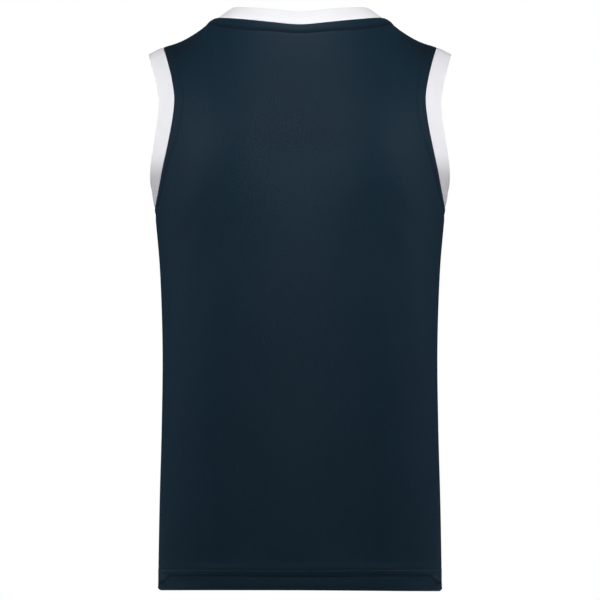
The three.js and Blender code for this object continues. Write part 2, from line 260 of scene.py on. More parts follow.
def edge_distance(points, edge):
    """The distance from each point to a line of edge points, and how far along it the nearest place
    is: the nearest edge point first, then the nearest place on the two stretches beside it."""
    flat = points.reshape(-1, 3)
    length = run_length(edge, 0)
    nearest = np.concatenate([
        np.argmin(((block[:, None] - edge[None]) ** 2).sum(-1), axis=1)
        for block in np.array_split(flat, 40)
    ])
    best, place = np.full(len(flat), np.inf), np.zeros(len(flat))
    for shift in (-1, 0):
        i = np.clip(nearest + shift, 0, len(edge) - 2)
        way = edge[i + 1] - edge[i]
        t = np.clip(((flat - edge[i]) * way).sum(-1) / (way**2).sum(-1), 0, 1)
        distance = np.linalg.norm(flat - edge[i] - way * t[:, None], axis=1)
        closer = distance < best
        best[closer] = distance[closer]
        place[closer] = (length[i] + (length[i + 1] - length[i]) * t)[closer]
    return best.reshape(points.shape[:-1]), place.reshape(points.shape[:-1])


FORMS, NORMALS = {}, {}
for side in ("back", "front"):
    u, v = np.meshgrid(COLUMNS, ROWS)
    FORMS[side] = panel_form(side, u, v)
    NORMALS[side] = panel_normals(FORMS[side], side)
    print(side, "from", FORMS[side].min((0, 1)).round(1), "to", FORMS[side].max((0, 1)).round(1))

# %% [markdown]
# ## Relief of the hem, seams and topstitched strips
# The hem is turned up inside by 26 mm and held by two rows of stitches, so it stands out a little,
# dips at each row and stands out again above the upper one. Sewing leaves it uneven: its rows sit lower
# in the middle, and the lower one drops towards the side seams. Along the neck and the armholes the seam
# allowance lies behind a strip 9.5 to 16.5 mm wide, which stands proud and ends in a topstitched groove.
# One table gives the hem's relief by the height above its edge, and another the strips' relief by the
# share of their width.

# %% Relief tables
HEM_RELIEF = {
    "height": [0, 0.8, 2.5, 5, 8, 12, 14, 16, 18, 18.8, 19.6,
               21.2, 23.8, 25.8, 26.4, 27.2, 29.5, 33, 37, 42, 62],
    "middle": [-0.5, 0, 0.35, 0.65, 0.75, 0.6, 0.5, 0.4, 0.25, -0.05, -0.35,
               -0.2, 0.15, 0.5, 0.35, 0.8, 0.85, 0.6, 0.3, 0.1, 0],
    "wide": [0.2, 0.7, 0.95, 0.7, 0.2, -0.4, -0.55, -0.5, -0.25, -0.35, -0.5,
             -0.3, 0.15, 0.5, 0.35, 0.8, 0.85, 0.6, 0.3, 0.1, 0],
    "corner": [0.3, 0.9, 1.1, 0.7, 0, -0.7, -0.9, -0.7, -0.1, 0.2, 0.35,
               0.5, 0.6, 0.35, 0.1, -0.05, -0.3, -0.35, -0.15, 0, 0],
}
STRIP_RELIEF = {
    "share": [0, 0.06, 0.16, 0.3, 0.5, 0.65, 0.8, 0.93, 1, 1.07, 1.15, 1.3, 1.6, 2.2],
    "lift": [-0.55, 0, 0.4, 0.55, 0.5, 0.3, 0, -0.4, -0.5, -0.32, -0.12, 0.05, 0.03, 0],
}
HEM_STITCHES = {"lower": 19.3, "upper": 26.3}
STRIP_WIDTH = {"nape": 13.3, "neck_side": 16.5, "shoulder": 14.0, "underarm": 9.5}
HEM_SAG, CORNER_PULL = 1.2, 9.0
WALL, HEM_WALL, HEM_DEPTH = 1.1, 2.1, 26.0
PUCKER_LENGTH, PUCKER_DEPTH = 11, 0.16
EAR = [(-218.5, 3.4, 2.6), (-227, 5.0, -1.3)]  # z, width, lift


def step_up(value, low, high):
    """0 below low, 1 above high, and 3t^2 - 2t^3 between."""
    t = np.clip((value - low) / (high - low), 0, 1)
    return t * t * (3 - 2 * t)


def hem_height(points, height, pull):
    """The height above the hem's edge, with what is sewn there 1.2 mm lower at the middle and pulled
    down by up to pull at the corners."""
    x = np.abs(points[..., 0])
    return height + HEM_SAG * bell(x, 100) + pull * step_up(x, 163, 178)


def hem_relief(points, height):
    """The hem's relief by the height above its edge: one profile in the middle, one further out and
    one at the corner, blended by |x|, and two low swellings above the upper row. At the side seams it
    is almost flat."""
    x = np.abs(points[..., 0])
    profiles = ("middle", "wide", "corner")
    middle, wide, corner = (along(HEM_RELIEF, "height", key, height) for key in profiles)
    out, end = step_up(x, 105, 150), step_up(x, 160, 175)
    swell = 1.3 * bell(height - 28.5, 5) * step_up(height, 26.4, 27.4) * bell(x - 102, 36)
    lift = middle * (1 - out) + wide * (out - end) + corner * end + swell
    return lift * (1 - 0.9 * step_up(x, 172, 180))


def strip_relief(share, place):
    """The strip's relief by the share of its width from its edge, with puckers 11 mm long on its groove:
    a sine of the place along it, whose phase wanders."""
    phase = place / PUCKER_LENGTH * 2 * np.pi + 1.3 * np.sin(place / 47)
    puckers = PUCKER_DEPTH * np.sin(phase) * bell(share - 0.9, 0.5)
    return along(STRIP_RELIEF, "share", "lift", share) + puckers


def seam_relief(distance):
    """A plain seam: a narrow valley with the allowance's soft ridge beside it."""
    return -0.9 * bell(distance, 1.2) + 0.22 * bell(distance - 4.5, 3)


def ear_relief(points):
    """The pointed end of the armhole's seam, which stands off the side seam at the underarm."""
    x, y, z = np.moveaxis(points, -1, 0)
    return sum(lift * bell(z - place, width) for place, width, lift in EAR) * bell(y, 8)


print("the hem stands out by", max(HEM_RELIEF["middle"]), "mm in the middle")

# %% [markdown]
# ## Soft folds
# The cloth hangs almost smooth from the shoulder blades and the chest. A few long, shallow folds remain,
# each listed with where it is, how long and wide it is, how far it leans, and its depth.
# A fold is a long bell, so it fades into the cloth at all sides.

# %% Folds
# x, z, length, width, lean in degrees from upright, depth; all in millimetres
FOLDS = {
    "back": [
        (-128, -330, 130, 17, 10, -0.9), (126, -345, 120, 18, -9, -0.8), (-150, -420, 110, 14, 5, 0.7),
        (151, -405, 120, 13, -6, 0.8), (-62, -560, 150, 24, -4, -0.7), (66, -545, 140, 26, 5, -0.7),
        (-104, -610, 100, 22, 3, 0.8), (102, -600, 110, 20, -4, 0.7), (4, -480, 190, 30, 1, 0.7),
        (-148, -262, 60, 13, 32, -0.8), (149, -258, 62, 12, -33, -0.8), (-30, -640, 80, 20, 6, 0.4),
    ],
    "front": [
        (-120, -300, 140, 18, 14, -1.3), (118, -320, 130, 20, -12, -1.2), (-148, -410, 120, 15, 6, 1.0),
        (149, -390, 130, 14, -8, 1.1), (-58, -540, 160, 26, -5, -1.1), (54, -575, 130, 28, 6, -1.0),
        (-100, -620, 90, 20, 4, 0.9), (98, -600, 100, 22, -3, 0.9), (2, -430, 200, 34, 1, 0.9),
        (-140, -236, 70, 14, 38, -1.2), (141, -242, 66, 13, -36, -1.1), (-66, -150, 90, 20, 30, -1.0),
        (64, -158, 86, 22, -32, -0.9),
    ],
}


def fold_relief(side, points):
    """The sum of the folds: depth * exp(-(along / length)^2 - (across / width)^2), turned by lean."""
    x, z = points[..., 0], points[..., 2]
    total = np.zeros_like(x)
    for fx, fz, length, width, lean, depth in FOLDS[side]:
        c, s = math.cos(math.radians(lean)), math.sin(math.radians(lean))
        run = (x - fx) * s + (z - fz) * c
        across = (x - fx) * c - (z - fz) * s
        total += depth * bell(run, length) * bell(across, width)
    return total


print("folds", {side: len(rows) for side, rows in FOLDS.items()})

# %% [markdown]
# ## The dressed surface of a panel
# All the reliefs are added and the plain surface is moved along its normals by the sum. The hem's edge is
# not quite level: it is raised a little towards the left side and rounded up at the corners. The inner
# face lies one wall deeper, and deeper still behind the hem, where the cloth is double. A second field,
# the shade, is painted shade: it says where the cloth's colour is darkened to stand in for shade, in the
# grooves that stitches pull in and at the ends of the shoulders.

# %% Shade and edge
# amounts of painted shade: colour darkened where shade falls in the grooves and at the shoulder ends
HEM_SHADE, CORNER_SHADE, STRIP_SHADE, SHOULDER_SHADE = 0.66, 0.6, 0.62, 0.8
SHOULDER_FADE = {"back": 50, "front": 16}
LEFT_RISE = {"x": [-190, 0, 130], "rise": [1.2, 0.9, 0]}
CORNER_RISE = 3.2


def strip_strength(name, low_arm):
    """How strong a strip is: whole at the neck, and from 0.35 to 0.85 down an armhole."""
    return 1 if name == "neck" else 0.35 + 0.5 * low_arm


def panel_shade(side, points, height, from_top, strips, low_arm):
    """Painted shade in the hem's lower groove and corner, the strips' grooves and the ends of the
    shoulders, summed.
    """
    x = np.abs(points[..., 0])
    bent = hem_height(points, height, CORNER_PULL)
    shade = HEM_SHADE * step_up(bent, 18, 19) * (1 - step_up(bent, 18.5, 25))
    shade += CORNER_SHADE * bell(x - 175, 5) * bell(height - 9.5, 3)
    for name, share in strips.items():
        groove = step_up(share, 0.55, 0.92) * step_up(-share, -1.1, -1.02)
        shade += STRIP_SHADE * strip_strength(name, low_arm) ** 2 * groove
    shade += SHOULDER_SHADE * bell(from_top, SHOULDER_FADE[side]) * step_up(x, 98, 150)
    return np.minimum(shade, 1)


def edge_rise(x, height):
    """How far the hem is raised: a slope to the left that fades in 15 mm, and round corners in 7 mm."""
    uneven = np.clip(1 - height / 15, 0, 1) * np.interp(x, LEFT_RISE["x"], LEFT_RISE["rise"])
    corner = CORNER_RISE * np.clip((np.abs(x) - 175.5) / 6, 0, 1) ** 2.5
    return uneven + corner * np.clip(1 - height / 7, 0, 1)


print("the hem's edge rises by up to", edge_rise(np.array([-181.5]), np.array([0.0])).round(1), "mm")

# %% Dressed panels


def dress_panel(side):
    """The outer and inner grids of a panel, and the fields that the stitches and finishes need."""
    points, normals = FORMS[side], NORMALS[side]
    height = run_length(points, 0)
    row = run_length(points, 1)
    from_side = np.minimum(row, row[:, -1:] - row)
    from_top = height[-1:] - height
    v = ROWS[:, None]
    neck, neck_place = edge_distance(points, points[-1, NECK_COLUMNS])
    right, right_place = edge_distance(points, points[UNDERARM_ROW:, -1])
    left, left_place = edge_distance(points, points[UNDERARM_ROW:, 0])
    x, z = points[..., 0], points[..., 2]
    low_arm = step_up(-z, 110, 180)
    nape, neck_side, shoulder, underarm = STRIP_WIDTH.values()
    arm_width = shoulder + (underarm - shoulder) * low_arm
    neck_width = nape + (neck_side - nape) * step_up(np.abs(x), 25, 80)
    strips = {"neck": neck / neck_width, "right": right / arm_width, "left": left / arm_width}
    places = {"neck": neck_place, "right": right_place, "left": left_place}
    lift = np.where(height < 62, hem_relief(points, hem_height(points, height, 0)), 0)
    for name, share in strips.items():
        lift += strip_relief(share, places[name]) * strip_strength(name, low_arm)
    on_strip = np.clip(step_up(-neck, -14, -6) + step_up(-np.minimum(left, right), -14, -6), 0, 1)
    lift += np.where(v <= 1, seam_relief(from_side), 0)
    lift += np.where(~NECK_COLUMNS[None], seam_relief(from_top), 0) * (1 - 0.4 * on_strip)
    calm = step_up(height, 30, 60) * step_up(from_side, 2, 16)
    lift += fold_relief(side, points) * calm * step_up(np.minimum(neck, from_top + 6), 8, 26)
    lift += ear_relief(points)
    outer = points + normals * lift[..., None]
    outer[..., 2] += edge_rise(x, height)
    wall = WALL + (HEM_WALL - WALL) * step_up(-height, -HEM_DEPTH - 0.8, -HEM_DEPTH)
    inner = outer - normals * wall[..., None]
    return {"outer": outer, "inner": inner, "normals": normals, "height": height, "row": row,
            "strips": strips, "lift": lift,
            "shade": panel_shade(side, points, height, from_top, strips, low_arm)}


PANELS = {side: dress_panel(side) for side in ("back", "front")}
for side, panel in PANELS.items():
    print(side, "relief from", panel["lift"].min().round(2), "to", panel["lift"].max().round(2), "mm")

# %% [markdown]
# ## From grids to closed meshes
# A grid becomes quads between neighbouring rows and columns. A panel has an outer and an inner grid
# joined by a rim all round, so it is a closed thin shell. A band's grid closes on itself both ways.
# Each mesh keeps a UV map in metres, measured along the cloth, so the knit follows the surface.

# %% Mesh builders


def quads(grid):
    """The four corners of each cell of a grid, in turn: here, right, right and up, up."""
    corners = [grid[:-1, :-1], grid[:-1, 1:], grid[1:, 1:], grid[1:, :-1]]
    return np.stack(corners, axis=2).reshape(-1, 4, *grid.shape[2:])


def add_object(name, data):
    """An object of a mesh, lamp or camera, linked to the scene."""
    thing = bpy.data.objects.new(name, data)
    bpy.context.scene.collection.objects.link(thing)
    return thing


def add_mesh(name, points, faces, uv, smooth):
    """A mesh object from points in millimetres, quads, their corners' UVs and which are smooth. If
    the volume, the sum of a . (b x c) / 6, comes out negative, every face is turned round."""
    corners = points[faces]
    a, b, c, d = (corners[:, i] for i in range(4))
    volume = (a * np.cross(b, c)).sum() + (a * np.cross(c, d)).sum()
    if volume < 0:
        faces, uv = faces[:, ::-1], uv[:, ::-1]
    mesh = bpy.data.meshes.new(name)
    mesh.vertices.add(len(points))
    mesh.vertices.foreach_set("co", (points * 0.001).astype(np.float32).ravel())
    mesh.loops.add(faces.size)
    mesh.loops.foreach_set("vertex_index", faces.astype(np.int32).ravel())
    mesh.polygons.add(len(faces))
    mesh.polygons.foreach_set("loop_start", np.arange(0, faces.size, 4, dtype=np.int32))
    mesh.polygons.foreach_set("use_smooth", smooth)
    layer = mesh.uv_layers.new(name="cloth")
    layer.data.foreach_set("uv", (uv * 0.001).astype(np.float32).ravel())
    mesh.update(calc_edges=True)
    mesh.validate()
    piece = add_object(name, mesh)
    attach(piece, "root")
    return piece


def shell(name, outer, inner, uv):
    """A closed wall between two open grids, with a rim of quads round all four edges."""
    rows, columns = outer.shape[:2]
    at = np.arange(rows * columns).reshape(rows, columns)
    loop = np.concatenate([at[0, :-1], at[:-1, -1], at[-1, :0:-1], at[:0:-1, 0]])
    after = np.roll(loop, -1)
    behind = at.size
    rim = np.stack([after, loop, loop + behind, after + behind], axis=1)
    faces = np.concatenate([quads(at), quads(at + behind)[:, ::-1], rim])
    flat_uv = uv.reshape(-1, 2)
    points = np.concatenate([outer.reshape(-1, 3), inner.reshape(-1, 3)])
    smooth = np.arange(len(faces)) < len(faces) - len(rim)
    return add_mesh(name, points, faces, flat_uv[faces % behind], smooth)


def add_field(piece, name, values):
    """A number for each point of a mesh, kept as an attribute."""
    attribute = piece.data.attributes.new(name, "FLOAT", "POINT")
    attribute.data.foreach_set("value", values.ravel().astype(np.float32))


def panel_uv(panel):
    """Millimetres across from the middle of each row, and millimetres up from the hem."""
    middle = panel["row"].shape[1] // 2
    return np.stack([panel["row"] - panel["row"][:, middle : middle + 1], panel["height"]], axis=-1)


cloth = {}
for side, panel in PANELS.items():
    piece = shell(f"{side}_panel_cloth", panel["outer"], panel["inner"], panel_uv(panel))
    # the shade field is painted shade, on the outer face only; the inner face gets none
    add_field(piece, "shade", np.concatenate([panel["shade"].ravel(), 0 * panel["shade"].ravel()]))
    cloth[f"{side}_panel"] = piece
    print(piece.name, len(piece.data.polygons), "faces")

# %% [markdown]
# ## The edges that the bands are sewn to
# The neck band goes all round the neckline and an armhole band all round an armhole, over the back and
# the front. So each loop is joined from the edge points of both panels' plain forms, which keep the
# normal of the cloth there and the direction that leads off it.

# %% Edge loops


def edge_loop(pick):
    """The back's and the front's edge points joined into one closed loop, with their normals and the
    directions off the panel."""
    back, front = pick("back"), pick("front")
    ends = [(back[0] + front[0]) / 2], [(back[-1] + front[-1]) / 2]
    loop = np.concatenate([ends[0], back[1:-1], ends[1], front[-2:0:-1]])
    point, normal, off = loop[:, :3], unit(loop[:, 3:6]), loop[:, 6:9]
    tangent = unit(np.roll(point, -1, 0) - np.roll(point, 1, 0))
    square = unit(np.cross(tangent, normal))
    square *= np.sign((square * off).sum(-1, keepdims=True))
    return point, normal, square, tangent


def neck_edge(side):
    """The neckline of a panel."""
    p, n = FORMS[side], NORMALS[side]
    return np.concatenate([p[-1], n[-1], p[-1] - p[-2]], axis=1)[NECK_COLUMNS]


def arm_edge(side, right):
    """The armhole of a panel, from the underarm to the shoulder."""
    p, n, c, within = FORMS[side], NORMALS[side], -1 if right else 0, -2 if right else 1
    off = p[:, c] - p[:, within]
    off[UNDERARM_ROW] = p[UNDERARM_ROW, c] - p[UNDERARM_ROW - 1, c]
    return np.concatenate([p[:, c], n[:, c], off], axis=1)[UNDERARM_ROW:]


print("points on the back's neckline and armhole", len(neck_edge("back")), len(arm_edge("back", True)))

# %% [markdown]
# ## The bands
# A band is a strip of white knit folded in half lengthways and sewn to the edge with both its raw
# edges. Its section is carried along the loop of panel edges: out along the cloth, turning into the
# band's own direction, round the fold, and back. The neck band leans in towards the neck, and an
# armhole band stands out towards the arm.

# %% Band forms
BAND_WALL, BAND_TURN, BAND_STEPS, FOLD_STEPS = 2.0, 0.36, 18, 6
BAND_WIDTH = {"neck": 22.0, "arm": 20.5}
BAND_CROWN, BAND_VALLEY, BAND_WAVE, BAND_HUG = 0.35, 0.85, 0.14, 0.5
NECK_LEAN = {"side": 55, "back": 42, "front": 34}
UNDERARM_SHADE_DEPTH = (150, 186)  # how far below the origin the painted shade on a band begins, and where it is full


def neck_lean(point):
    """Up and in towards the neck: 55 degrees from upright at the sides, 42 behind and 34 before."""
    x, y = point[:, 0], point[:, 1]
    end = np.where(y < 0, NECK_LEAN["back"], NECK_LEAN["front"])
    angle = np.radians(NECK_LEAN["side"] + (end - NECK_LEAN["side"]) * y**2 / (x**2 + y**2))
    inward = unit(np.stack([-x, -y, 0 * x], axis=1))
    return inward * np.sin(angle)[:, None] + np.array([0, 0, 1]) * np.cos(angle)[:, None]


def arm_lean(point):
    """Out towards the arm, by the armhole's table, and towards the plane of the side seams."""
    x, y, z = point.T
    top = along(SHOULDER, "x", "z", np.abs(x))
    share = np.clip((z - UNDERARM_Z) / (top - UNDERARM_Z), 0, 1)
    out, up = along(ARMHOLE, "share", "out", share), along(ARMHOLE, "share", "up", share)
    rest = np.sqrt(np.maximum(1 - out**2 - up**2, 0)) * np.clip(np.abs(y) / 4, 0, 1)
    return unit(np.stack([np.sign(x) * out, -np.sign(y) * rest, up], axis=1))


def band_grid(loop, width, lean_of, ripple):
    """The band's section at each point of the loop. way(s) turns from the cloth's own direction to the
    lean by 3t^2 - 2t^3, the section is the sum of way over the width, and the fold is a half circle.
    The outer face has a crown, a valley at the seam, where it hugs the panel, and a faint wave."""
    point, normal, square, tangent = loop
    lean = lean_of(point)
    lean = unit(lean - tangent * (lean * tangent).sum(-1, keepdims=True))
    share = np.linspace(0, 1, BAND_STEPS + 1)
    turn = step_up(share, 0, BAND_TURN)[:, None, None]
    way = unit(square * (1 - turn) + lean * turn)
    steps = way[1:] * width / BAND_STEPS
    ridge = np.concatenate([0 * steps[:1], np.cumsum(steps, axis=0)]) + point
    up = unit(np.cross(tangent[None], way))
    up *= np.sign((up * normal).sum(-1, keepdims=True).mean(axis=(0, 1)))
    up *= np.sign((up[:1] * normal).sum(-1, keepdims=True))
    length = run_length(np.concatenate([point, point[:1]]), 0)
    wave = np.sin(length[:-1] / length[-1] * 2 * np.pi * ripple) * np.sin(length[:-1] / 31 + 1)
    s = share[:, None]
    crown = BAND_CROWN * np.sin(np.pi * s) - BAND_VALLEY * bell(s * width, 1.1) + BAND_WAVE * wave * s
    outer = ridge + up * crown[..., None] - square * BAND_HUG * bell(s * width, 0.5)[..., None]
    inner = ridge + up * (-BAND_WALL + 0.2 * np.sin(np.pi * s))[..., None]
    phi = np.linspace(0, np.pi, FOLD_STEPS + 2)[1:-1, None, None]
    centre = (outer[-1] + inner[-1]) / 2
    fold = centre + (up[-1] * np.cos(phi) + way[-1] * np.sin(phi)) * BAND_WALL / 2
    return np.concatenate([outer, fold, inner[::-1]])


def band_piece(name, grid):
    """A closed mesh from a grid that closes on itself along the loop and round the section."""
    rows, columns = grid.shape[:2]
    at = np.arange(rows * columns).reshape(rows, columns)
    wrapped = np.pad(at, ((0, 1), (0, 1)), mode="wrap")
    closed = grid.reshape(-1, 3)[wrapped]
    run = np.broadcast_to(run_length(closed, 1)[:1], wrapped.shape)
    over = np.broadcast_to(run_length(closed, 0)[:, :1], wrapped.shape)
    uv = quads(np.stack([run, over], axis=-1))
    faces = quads(wrapped)
    return add_mesh(name, grid.reshape(-1, 3), faces, uv, np.ones(len(faces), bool))


LOOPS = {
    "neck_band": (edge_loop(neck_edge), BAND_WIDTH["neck"], neck_lean, 9),
    "armhole_band_left": (edge_loop(lambda side: arm_edge(side, False)), BAND_WIDTH["arm"], arm_lean, 7),
    "armhole_band_right": (edge_loop(lambda side: arm_edge(side, True)), BAND_WIDTH["arm"], arm_lean, 8),
}
for name, (loop, width, lean_of, ripple) in LOOPS.items():
    grid = band_grid(loop, width, lean_of, ripple)
    cloth[name] = band_piece(f"{name}_cloth", grid)
    # painted shade under the arm: the field rises from 0 to 1 towards the bands' low ends
    add_field(cloth[name], "underarm_shade", step_up(-grid[..., 2], *UNDERARM_SHADE_DEPTH))
    print(name, "loop", run_length(loop[0], 0)[-1].round(), "mm", len(cloth[name].data.polygons), "faces")

# %% [markdown]
# ## Stitches
# A row of stitches follows a line on the dressed surface: where the distance from an edge, or the
# height above the hem, passes a given value. One stitch is a short rounded rod of 34 faces. Copies of
# it are set along the line at an even pitch, each turned to the line and bedded in the cloth, and all
# the stitches of a row become one mesh.

# %% Stitch rows
# length, pitch, radius and sink in millimetres, and slant in degrees
STITCHES = {
    "neck": (2.3, 3.0, 0.3, 0.12, 0),
    "armhole": (2.5, 3.1, 0.36, 0.0, 12),
    "upper": (2.0, 3.0, 0.48, 0, 24),
    "lower": (2.4, 3.0, 0.32, 0.12, 0),
}


def contour(points, field, level):
    """Where a field first passes a level along each row of a grid, by a straight line between the
    points before and after. Rows that start past the level, or never reach it, are left out."""
    past = field >= level
    rows = np.flatnonzero(past.any(axis=1) & ~past[:, 0])
    k = past.argmax(axis=1)[rows]
    low, high = field[rows, k - 1], field[rows, k]
    t = ((level - low) / (high - low))[:, None]
    return points[rows, k - 1] * (1 - t) + points[rows, k] * t


def stitch_rod():
    """One stitch along x: rings of six points whose radius is that of a rod with rounded ends."""
    x = np.array([-0.5, -0.44, -0.25, 0.25, 0.44, 0.5])
    radius = np.array([0.25, 0.8, 1, 1, 0.8, 0.25])
    angle = np.arange(6) / 6 * 2 * np.pi
    ring = np.stack([np.cos(angle), np.sin(angle)], axis=1)
    section = (radius[:, None, None] * ring).reshape(-1, 2)
    rod = np.concatenate([np.repeat(x, 6)[:, None], section], axis=1)
    at = np.pad(np.arange(36).reshape(6, 6), ((0, 0), (0, 1)), mode="wrap")
    caps = np.array([[0, 1, 2, 3], [0, 3, 4, 5], [33, 32, 31, 30], [35, 34, 33, 30]])
    return rod, np.concatenate([quads(at)[:, ::-1], caps])


def read_path(path, run, place):
    """A path's columns at given places along it, by straight lines between its points."""
    return np.stack([np.interp(place, run, column) for column in path.T], axis=1)


def stitch_row(name, path, closed, length, pitch, radius, sink, slant):
    """Rods set along a path of points and normals, at an even pitch, with every second one slanted
    the other way by the given degrees."""
    if closed:
        path = np.concatenate([path, path[:1]])
    run = run_length(path[:, :3], 0)
    count = int(round(run[-1] / pitch))
    place = (np.arange(count) + 0.5) * run[-1] / count
    before, line, after = (read_path(path, run, place + shift) for shift in (-1, 0, 1))
    up = unit(line[:, 3:])
    ahead = unit(after[:, :3] - before[:, :3])
    beside = unit(np.cross(up, ahead))
    angle = np.radians(slant) * (1 - 2 * (np.arange(count) % 2))[:, None]
    turned = ahead * np.cos(angle) + beside * np.sin(angle)
    across = np.cross(up, turned)
    rod, rod_faces = stitch_rod()
    frames = np.stack([turned * length, across * radius, up * radius * 0.8], axis=1)
    points = (line[:, :3] - up * sink)[:, None] + np.einsum("pk,skc->spc", rod, frames)
    faces = rod_faces[None] + (np.arange(count) * len(rod))[:, None, None]
    uv = np.stack([rod[:, 0] * length, np.arctan2(rod[:, 2], rod[:, 1])], axis=1)
    uv = np.broadcast_to(uv[rod_faces], (count, *rod_faces.shape, 2)).reshape(-1, 4, 2)
    faces = faces.reshape(-1, 4)
    return add_mesh(name, points.reshape(-1, 3), faces, uv, np.ones(len(faces), bool))


STITCH_FACES = len(stitch_rod()[1])
print("one stitch has", STITCH_FACES, "faces")

# %% [markdown]
# ## Where the rows run
# Each row is found on the dressed panels, back and front, and its stitches are set along it. The neck
# and armhole rows close on themselves over the shoulders. The hem rows end at the side seams.

# %% Rows on the jersey


def on_cloth(side):
    """The outer points of a panel with their normals, side by side."""
    return np.concatenate([PANELS[side]["outer"], PANELS[side]["normals"]], axis=-1)


def joined(back, front):
    """The back's line and then the front's, turned round, as one closed loop."""
    return np.concatenate([back, front[::-1]])


def neck_line(side):
    """The line where the neck strip ends, found down each column."""
    return contour(on_cloth(side)[::-1].transpose(1, 0, 2), PANELS[side]["strips"]["neck"][::-1].T, 1)


def arm_line(side, right):
    """The line where an armhole's strip ends, found inwards along each row."""
    turn = slice(None, None, -1) if right else slice(None)
    field = PANELS[side]["strips"]["right" if right else "left"]
    middle = len(COLUMNS) // 2
    return contour(on_cloth(side)[:, turn][:, :middle], field[:, turn][:, :middle], 1)


def hem_line(side, height, pull):
    """The line at a height above the hem's edge, found up each column, pulled down at the corners."""
    points = on_cloth(side).transpose(1, 0, 2)
    return contour(points, hem_height(points, PANELS[side]["height"].T, pull), height)


ROW_LINES = {"neck_topstitch": (joined(neck_line("back"), neck_line("front")), True, "neck")}
for name, right in (("left", False), ("right", True)):
    line = joined(arm_line("back", right), arm_line("front", right))
    ROW_LINES[f"armhole_topstitch_{name}"] = (line, True, "armhole")
for side in ("back", "front"):
    for row, height in HEM_STITCHES.items():
        line = hem_line(side, height, 0 if row == "upper" else CORNER_PULL)
        ROW_LINES[f"hem_topstitch_{row}_{side}"] = (line, False, row)
stitches = {}
for name, (line, closed, kind) in ROW_LINES.items():
    stitches[name] = stitch_row(name, line, closed, *STITCHES[kind])
    print(name, len(stitches[name].data.polygons) // STITCH_FACES, "stitches")

# %% [markdown]
# ## Writing a finish as a formula
# A finish is a small network of nodes. To keep it readable, a value that changes over the surface is
# wrapped in a class whose operators add Math nodes, so a pattern reads like its formula.

# %% Finish helpers


def operator(operation, turned=False):
    """A method that adds a Math node of its value and any other, in that order or turned round."""

    def method(self, *other):
        inputs = (*other, self) if turned else (self, *other)
        return self.finish.node("ShaderNodeMath", {"operation": operation}, dict(enumerate(inputs)))

    return method


class Value:
    """A node's output. Its sums, differences, products, quotients, cosine and hyperbolic tangent are
    new Math nodes."""

    def __init__(self, finish, socket):
        self.finish = finish
        self.socket = socket

    cos, tanh = operator("COSINE"), operator("TANH")
    __add__ = __radd__ = operator("ADD")
    __mul__ = __rmul__ = operator("MULTIPLY")
    __sub__, __rsub__ = operator("SUBTRACT"), operator("SUBTRACT", turned=True)
    __truediv__, __rtruediv__ = operator("DIVIDE"), operator("DIVIDE", turned=True)


class Finish:
    """The nodes of a material or of the world, which are all added by one method."""

    def __init__(self, owner):
        self.owner = owner
        self.owner.use_nodes = True
        self.tree = self.owner.node_tree
        self.tree.nodes.clear()

    def node(self, kind, settings=None, inputs=None, output=0):
        """Adds a node: its settings first, then the values or links of its sockets."""
        node = self.tree.nodes.new(kind)
        for key, value in (settings or {}).items():
            setattr(node, key, value)
        for key, value in (inputs or {}).items():
            if isinstance(value, Value):
                self.tree.links.new(value.socket, node.inputs[key])
            else:
                node.inputs[key].default_value = value
        return Value(self, node.outputs[output]) if node.outputs else node

    def uv(self):
        """The UV map in metres, as two values: along the cloth's width and along its length."""
        spot = self.node("ShaderNodeUVMap", {"uv_map": "cloth"})
        across = self.node("ShaderNodeSeparateXYZ", {}, {"Vector": spot})
        return across, Value(self, across.socket.node.outputs["Y"])

    def cloud(self, scale, detail):
        """Soft noise from 0 to 1, by the place on the object."""
        place = self.node("ShaderNodeTexCoord", output=3)
        return self.node("ShaderNodeTexNoise", {}, {"Vector": place, "Scale": scale, "Detail": detail})

    def mix(self, factor, low, high):
        """A colour between two colours."""
        sockets = {"Factor": factor, 6: low, 7: high}
        return self.node("ShaderNodeMix", {"data_type": "RGBA"}, sockets, output=2)

    def finish(self, **sockets):
        """Ends a material with a Principled shader, its sockets' names written with _ for a space."""
        named = {key.replace("_", " "): value for key, value in sockets.items()}
        shader = self.node("ShaderNodeBsdfPrincipled", {}, named)
        self.node("ShaderNodeOutputMaterial", {}, {"Surface": shader})
        return self.owner


print("helpers ready")

# %% [markdown]
# ## Navy birdseye knit
# The cloth is a polyester knit with a lattice of tiny eyelets. Two sets of slanting lines, about 3 mm
# apart, cross each other. Each line is a cosine of the distance across it. One set shows more than the
# other, and which one it is changes over at the middle and again high on the back, as in the photograph.
# The lattice changes the colour and the gloss and dents the surface a little. The shade field is painted
# shade: it mixes the colour towards a near black navy, and makes the cloth more matt.

# %% The navy finish
KNIT_PITCH = 2.95
KNIT_SLANT = math.radians(55)
MIDDLE_BLEND, TURN_HEIGHT, TURN_BLEND = 40, 610, 50  # where the slants change over, in millimetres
NAVY = {
    "light": (0.0056, 0.0205, 0.0356, 1),
    "dark": (0.0024, 0.0094, 0.0172, 1),
    # the last colour is painted shade, for the grooves and the ends of the shoulders
    "painted_shade": (0.0003, 0.0020, 0.0042, 1),
}


